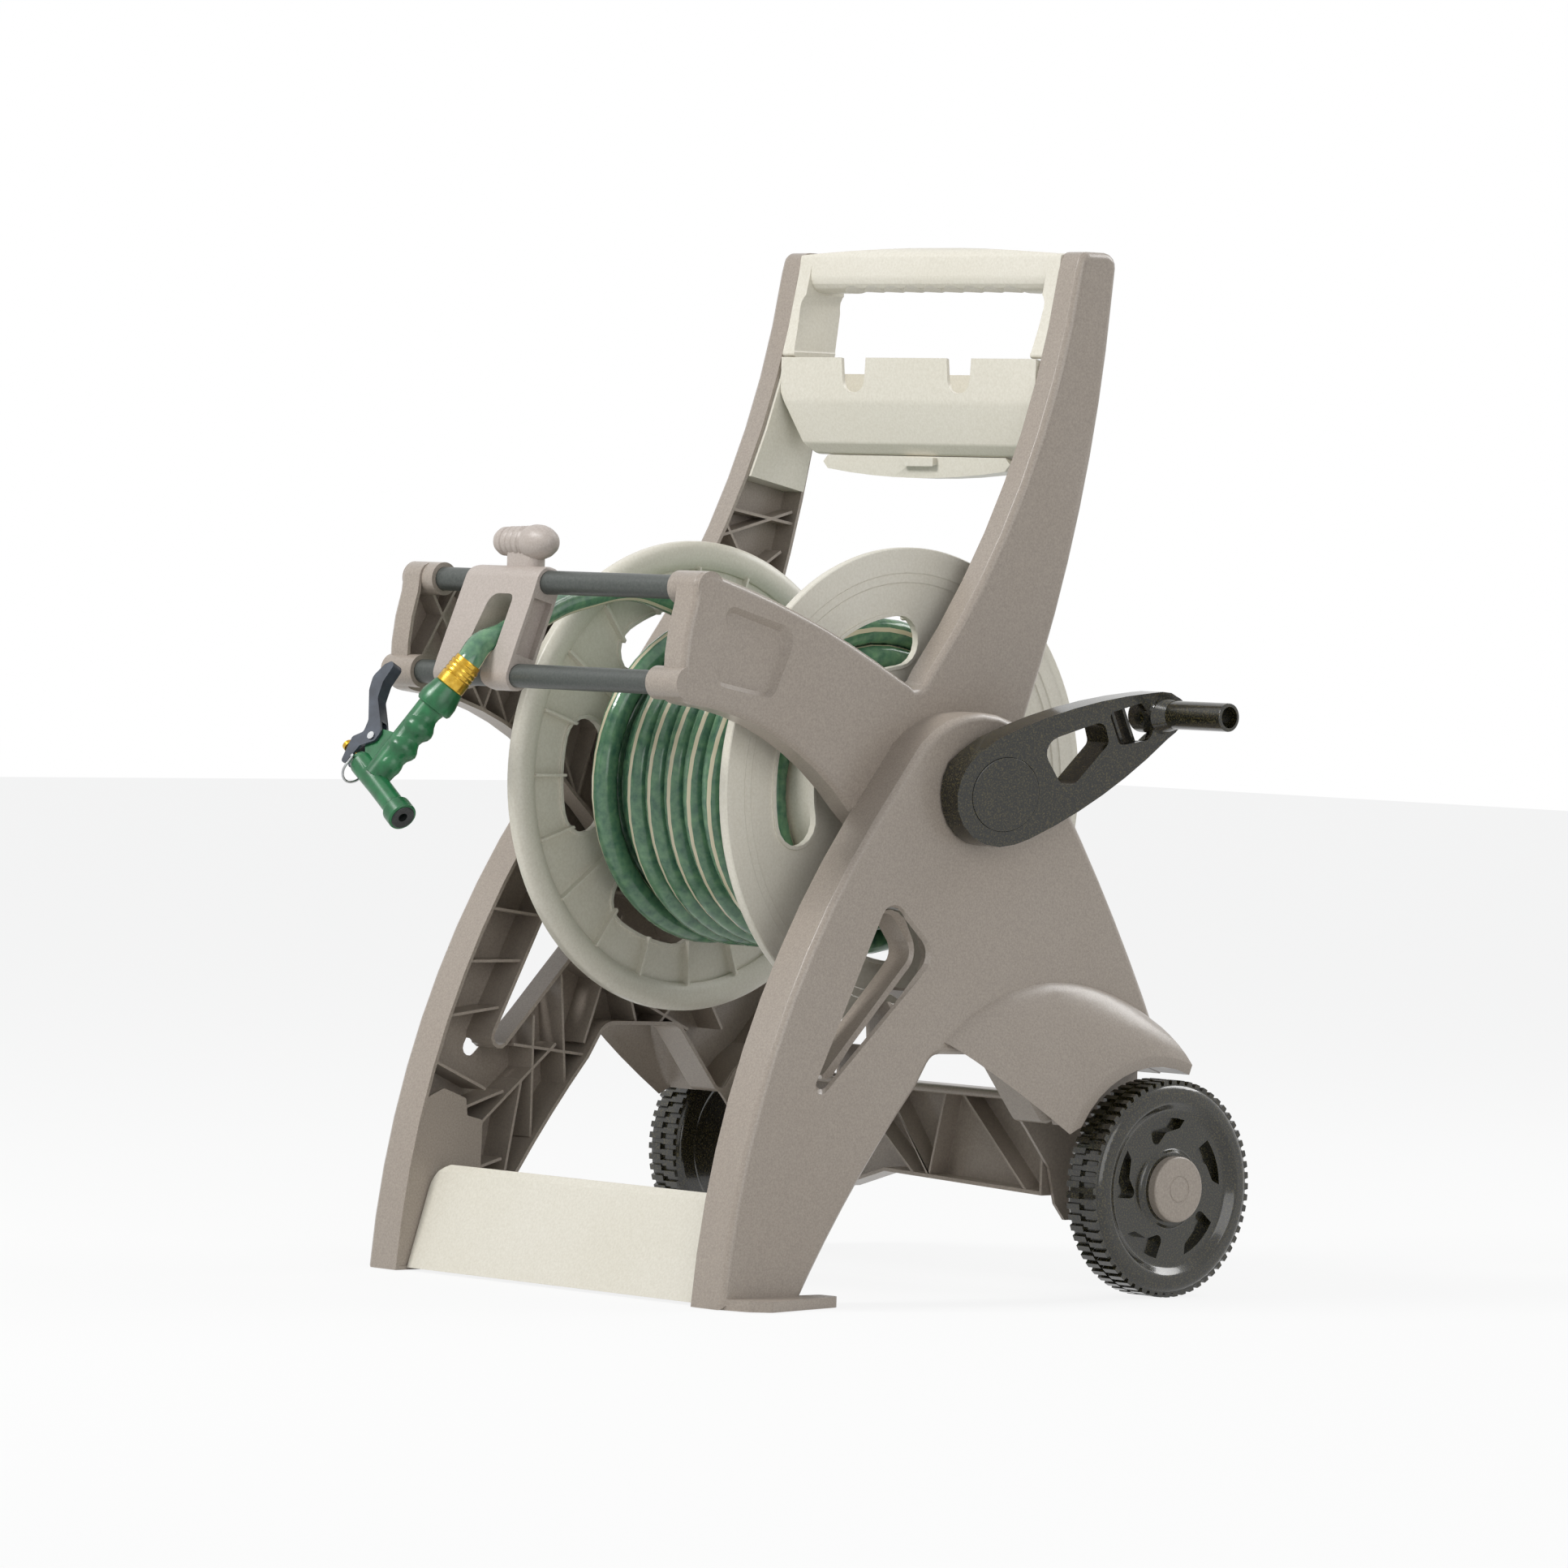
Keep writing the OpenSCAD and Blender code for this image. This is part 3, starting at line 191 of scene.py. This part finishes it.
def make_world():
    """White where it is seen, and a soft cool sky for the light that falls on the cart."""
    world = bpy.data.worlds.new("studio")
    bpy.context.scene.world = world
    world.use_nodes = True
    tree = world.node_tree
    tree.nodes.clear()
    soft = add(tree, "ShaderNodeBackground", (), {"Color": (0.93, 0.96, 1, 1), "Strength": SKY_LIGHT})
    bright = add(tree, "ShaderNodeBackground", (), {"Color": (1, 1, 1, 1), "Strength": 1.0})
    mixed = add(tree, "ShaderNodeMixShader",
                {"Fac": seen_directly(tree), 1: soft.outputs[0], 2: bright.outputs[0]})
    add(tree, "ShaderNodeOutputWorld", {"Surface": mixed.outputs[0]})


def make_lamps():
    """The three soft lamps, turned to the middle of the cart."""
    for name, (place, side, power) in LAMPS.items():
        data = bpy.data.lights.new(name, "AREA")
        data.size = side
        data.energy = power
        lamp = bpy.data.objects.new(name, data)
        lamp.location = place
        lamp.rotation_euler = (LAMP_TARGET - Vector(place)).to_track_quat("-Z", "Y").to_euler()
        bpy.context.scene.collection.objects.link(lamp)


# Finishes
def blank(name, values):
    """A material with its output and its shader at the given values, and the piece's own coordinates."""
    material = bpy.data.materials.new(name)
    material.use_nodes = True
    tree = material.node_tree
    tree.nodes.clear()
    shader = add(tree, "ShaderNodeBsdfPrincipled", (), values)
    add(tree, "ShaderNodeOutputMaterial", {"Surface": shader.outputs[0]})
    return material, tree, shader, add(tree, "ShaderNodeTexCoord").outputs["Object"]


def moulded(name, dark, light, cloud, roughness=0.42, fleck_mm=1.6, lift=0.12):
    """Injection-moulded polypropylene: a stone-like fleck, faint clouds and a soft sheen over a fine grain.
    The real fleck is about a third of a millimetre, and is drawn coarser so that it shows."""
    material, tree, shader, place = blank(name, {"Roughness": roughness, "IOR": 1.49})
    fleck = add(tree, "ShaderNodeTexNoise", {"Vector": place}, lumps(fleck_mm, 3.0))
    base = add(tree, "ShaderNodeValToRGB", {"Fac": fleck.outputs["Fac"]}, stops=((0.3, dark), (0.7, light)))
    drift = add(tree, "ShaderNodeTexNoise", {"Vector": place}, lumps(140, 2.0))
    tint = add(tree, "ShaderNodeMix", {"Factor": drift.outputs["Fac"], "A": base.outputs["Color"]},
               {"B": linear(cloud)}, data_type="RGBA", blend_type="MULTIPLY")
    tree.links.new(tint.outputs["Result"], shader.inputs["Base Color"])
    texture = add(tree, "ShaderNodeTexNoise", {"Vector": place}, lumps(0.9, 2.0))
    bump = add(tree, "ShaderNodeBump", {"Height": texture.outputs["Fac"]},
               {"Strength": lift, "Distance": 0.0004})
    tree.links.new(bump.outputs["Normal"], shader.inputs["Normal"])
    return material


def glossy_olive(name):
    """Glossy moulded ABS with an olive metallic fleck under the surface: near black, with glints."""
    material, tree, shader, place = blank(name, {"Roughness": 0.2, "Coat Weight": 0.4,
                                                 "Coat Roughness": 0.05})
    glitter = add(tree, "ShaderNodeTexNoise", {"Vector": place}, lumps(1.4, 4.0))
    base = add(tree, "ShaderNodeValToRGB", {"Fac": glitter.outputs["Fac"]},
               stops=((0.48, "#11120d"), (0.78, "#5d5433")))
    tree.links.new(base.outputs["Color"], shader.inputs["Base Color"])
    return material


def mottled(name, dark, light, roughness, metallic=0.0, grain_mm=6.0, lift=0.05):
    """One colour with faint mottling and the slight unevenness of a cast, drawn or moulded surface."""
    material, tree, shader, place = blank(name, {"Roughness": roughness, "Metallic": metallic})
    mottle = add(tree, "ShaderNodeTexNoise", {"Vector": place}, lumps(grain_mm, 3.0))
    base = add(tree, "ShaderNodeValToRGB", {"Fac": mottle.outputs["Fac"]}, stops=((0.3, dark), (0.7, light)))
    tree.links.new(base.outputs["Color"], shader.inputs["Base Color"])
    bump = add(tree, "ShaderNodeBump", {"Height": mottle.outputs["Fac"]},
               {"Strength": lift, "Distance": 0.0005})
    tree.links.new(bump.outputs["Normal"], shader.inputs["Normal"])
    return material


def hose_vinyl(name):
    """Glossy extruded vinyl: green, lumpy from the cords inside, with two cream stripes along it."""
    material, tree, shader, place = blank(name, {"Roughness": 0.16, "IOR": 1.53})
    mottle = add(tree, "ShaderNodeTexNoise", {"Vector": place}, lumps(9, 3.0))
    green = add(tree, "ShaderNodeValToRGB", {"Fac": mottle.outputs["Fac"]},
                stops=((0.3, "#456c58"), (0.7, "#6b9570")))
    # The map's Y runs once round the hose, so twice that, less its whole part, gives the two stripes
    along = add(tree, "ShaderNodeUVMap", uv_map="UVMap")
    around = add(tree, "ShaderNodeSeparateXYZ", {"Vector": along.outputs[0]})
    twice = add(tree, "ShaderNodeMath", {0: around.outputs["Y"]}, {1: 2.0}, operation="MULTIPLY")
    part = add(tree, "ShaderNodeMath", {0: twice.outputs[0]}, operation="FRACT")
    middle = add(tree, "ShaderNodeMath", {0: part.outputs[0]}, {1: 0.5}, operation="SUBTRACT")
    apart = add(tree, "ShaderNodeMath", {0: middle.outputs[0]}, operation="ABSOLUTE")
    stripe = add(tree, "ShaderNodeMath", {0: apart.outputs[0]}, {1: 0.055}, operation="LESS_THAN")
    colour = add(tree, "ShaderNodeMix", {"Factor": stripe.outputs[0], "A": green.outputs["Color"]},
                 {"B": linear("#d6cdb0")}, data_type="RGBA")
    tree.links.new(colour.outputs["Result"], shader.inputs["Base Color"])
    cords = add(tree, "ShaderNodeTexNoise", {"Vector": place}, lumps(3.5, 2.0))
    bump = add(tree, "ShaderNodeBump", {"Height": cords.outputs["Fac"]},
               {"Strength": 0.2, "Distance": 0.0005})
    tree.links.new(bump.outputs["Normal"], shader.inputs["Normal"])
    return material


def make_finishes():
    """Every finish of the cart, by the name of its slot in the record."""
    return {
        # Satin taupe of the frames, with a fine fleck
        "frame_plastic": moulded("taupe_polypropylene", "#938a81", "#a89e93", "#f4f0ec", 0.3, lift=0.07),
        # Warm cream of the panel, handle, tray and flanges
        "panel_plastic": moulded("cream_polypropylene", "#d6d1c4", "#e1ddd2", "#f6f5f0", 0.36, 2.2, 0.08),
        # The guide is a shade lighter than the frames, and duller
        "guide_plastic": moulded("light_taupe_polypropylene", "#aaa098", "#bab1aa", "#f4f1ef"),
        # Crank and wheels
        "gloss_black": glossy_olive("flecked_black_abs"),
        # Nylon is dull black at the inlet and the nozzle's end
        "dark_plastic": mottled("black_nylon", "#1b1c1d", "#2a2c2d", 0.45),
        # The lever is smoother, slate grey with a sheen
        "slate_plastic": mottled("slate_grey_nylon", "#2d323b", "#414853", 0.3, grain_mm=12),
        # Powder coat on the guide's tubes: dark, even and half matt
        "bar_paint": mottled("powder_coated_tube", "#3b3f3c", "#4c504c", 0.42, grain_mm=2.0),
        "hose_vinyl": hose_vinyl("striped_hose_vinyl"),
        # Enamel on cast zinc: deep green, with the casting's slight waves under the gloss
        "nozzle_paint": mottled("green_enamelled_zinc", "#17512f", "#257043", 0.3, grain_mm=14, lift=0.15),
        # Bare turned brass and bright steel
        "brass": mottled("turned_brass", "#b98f2c", "#dcb650", 0.24, 1.0),
        "steel": mottled("bright_steel", "#a5a7a8", "#c2c4c5", 0.25, 1.0)}


# Pieces that keep the shape of their node
def dress_node(node, body, finish):
    """A merged copy of a CAD node in its finish, shaded smooth, with its sharp edges softened."""
    mesh = frame["nodes"][node].data.copy()
    shell = bmesh.new()
    shell.from_mesh(mesh)
    bmesh.ops.remove_doubles(shell, verts=shell.verts, dist=MERGE_WITHIN)
    bmesh.ops.dissolve_limit(shell, angle_limit=FLAT_WITHIN, verts=shell.verts, edges=shell.edges)
    shell.to_mesh(mesh)
    shell.free()
    mesh.materials.clear()
    mesh.materials.append(finish)
    mesh.shade_smooth()
    mesh.set_sharp_from_angle(angle=SMOOTH_ANGLE)
    piece = bpy.data.objects.new(node + "_dressed", mesh)
    bpy.context.scene.collection.objects.link(piece)
    if node in SOFT_EDGES:
        bevel = piece.modifiers.new("edge", "BEVEL")
        bevel.width = SOFT_EDGES[node] * MM
        bevel.segments = 2
        bevel.limit_method = "ANGLE"
        bevel.angle_limit = EDGE_ANGLE
    weigh = piece.modifiers.new("flats", "WEIGHTED_NORMAL")
    weigh.keep_sharp = True
    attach(piece, body)
    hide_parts(node)
    return piece


def dress_nodes(finishes):
    """Every node but the hose in its finish; gives back the pieces that hang on the hose."""
    record = frame["record"]
    slots = {entry["node"]: entry["material_slot"] for entry in record["subparts"]}
    on_hose = []
    for body, nodes in record["behaviour"]["bodies"].items():
        for node in nodes:
            if node in ("hose_core", "hose_winding", "hose_run"):
                continue
            piece = dress_node(node, body, finishes[slots[node]])
            if node in record["physics"]["cord_nodes"]:
                on_hose.append(piece)
    return on_hose


# Hose
def hose_tube(name, points, radius, sides, finish, twist):
    """A round hose on a line of points, with a UV map along and around it; its stripes turn by twist."""
    data = bpy.data.curves.new(name, "CURVE")
    data.dimensions = "3D"
    data.twist_mode = "MINIMUM"
    data.bevel_depth = radius
    data.bevel_resolution = sides // 4
    data.use_fill_caps = True
    spline = data.splines.new("POLY")
    spline.points.add(len(points) - 1)
    for i, (knot, place) in enumerate(zip(spline.points, points)):
        knot.co = (*place, 1)
        knot.tilt = twist * i / len(points)
    spline.use_smooth = True
    data.materials.append(finish)
    curve = bpy.data.objects.new(name, data)
    bpy.context.scene.collection.objects.link(curve)
    shown = curve.evaluated_get(bpy.context.evaluated_depsgraph_get())
    piece = bpy.data.objects.new(curve.name + "_tube", bpy.data.meshes.new_from_object(shown))
    bpy.context.scene.collection.objects.link(piece)
    bpy.data.objects.remove(curve)
    return piece


def smoothstep(t):
    """Eases from nought to one."""
    return 0 if t <= 0 else 1 if t >= 1 else t * t * (3 - 2 * t)


def winding_point(turn):
    """Centre of the outer layer of hose after so many turns."""
    a = math.radians(COIL_START - 360 * turn)
    across = COIL_X0 + COIL_PITCH * turn + COIL_HOP * smoothstep(turn - HOP_TURN)
    return cart(across, COIL_R * math.cos(a), REEL_Z + COIL_R * math.sin(a))


def winding_way(turn):
    """Direction of the outer layer there, back towards the free run."""
    return (winding_point(turn - 0.001) - winding_point(turn + 0.001)).normalized()


def under_point(turn):
    """Centre of the layer under it after so many turns."""
    a = math.radians(UNDER_START - 360 * turn)
    return cart(UNDER_X0 + UNDER_PITCH * turn, UNDER_R * math.cos(a), REEL_Z + UNDER_R * math.sin(a))


def make_winding(finish):
    """The outer layer of hose and the layer that shows under it, which both turn with the reel."""
    steps = int(COIL_TURNS * COIL_STEPS)
    line = [winding_point(0) + winding_way(0) * HOSE_D * MM]
    line += [winding_point(COIL_TURNS * i / steps) for i in range(steps + 1)]
    line += [winding_point(COIL_TURNS) - winding_way(COIL_TURNS) * HOSE_D * MM]
    outer = hose_tube("outer_layer", line, HOSE_D / 2 * MM, COIL_SIDES, finish, COIL_TWIST)
    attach(outer, "reel")
    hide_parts("hose_winding")
    steps = int(UNDER_TURNS * UNDER_STEPS)
    line = [under_point(UNDER_TURNS * i / steps) for i in range(steps + 1)]
    inner = hose_tube("inner_layer", line, (HOSE_D / 2 - UNDER_SLACK) * MM, UNDER_SIDES, finish, UNDER_TWIST)
    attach(inner, "reel")
    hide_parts("hose_core")


def smooth_line(points, steps=6):
    """Points on the smooth line through the given ones."""
    ends = [2 * points[0] - points[1]] + points + [2 * points[-1] - points[-2]]
    line = []
    for i in range(1, len(ends) - 2):
        a, b, c, d = ends[i - 1:i + 3]
        for k in range(steps):
            t = k / steps
            line.append(0.5 * (2 * b + (c - a) * t + (2 * a - 5 * b + 4 * c - d) * t ** 2
                               + (3 * b - a - 3 * c + d) * t ** 3))
    return line + [points[-1]]


def make_run(finish):
    """The free run: it leaves the winding and ends in the coupling."""
    first = winding_point(0) + winding_way(0) * HOSE_D * MM
    route = [first, first + winding_way(0) * RUN_LEAD * MM]
    route += [cart(x, y, z + REEL_Z) for x, y, z in RUN_POINTS]
    route += [cart(*(HOSE_END + NOZZLE_WAY * depth)) for depth in (0, HOSE_IN_COUPLING / 2, HOSE_IN_COUPLING)]
    line = smooth_line(route)
    length = sum((b - a).length for a, b in zip(line, line[1:]))
    run = hose_tube("hose_run", line, HOSE_D / 2 * MM, COIL_SIDES, finish, RUN_TWIST)
    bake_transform(run)
    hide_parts("hose_run")
    return run, line, length


make_camera()
make_floor()
make_world()
make_lamps()
finishes = make_finishes()
run, run_line, run_length = make_run(finishes["hose_vinyl"])
on_hose = dress_nodes(finishes)
make_winding(finishes["hose_vinyl"])
bpy.context.scene.view_settings.view_transform = "Standard"
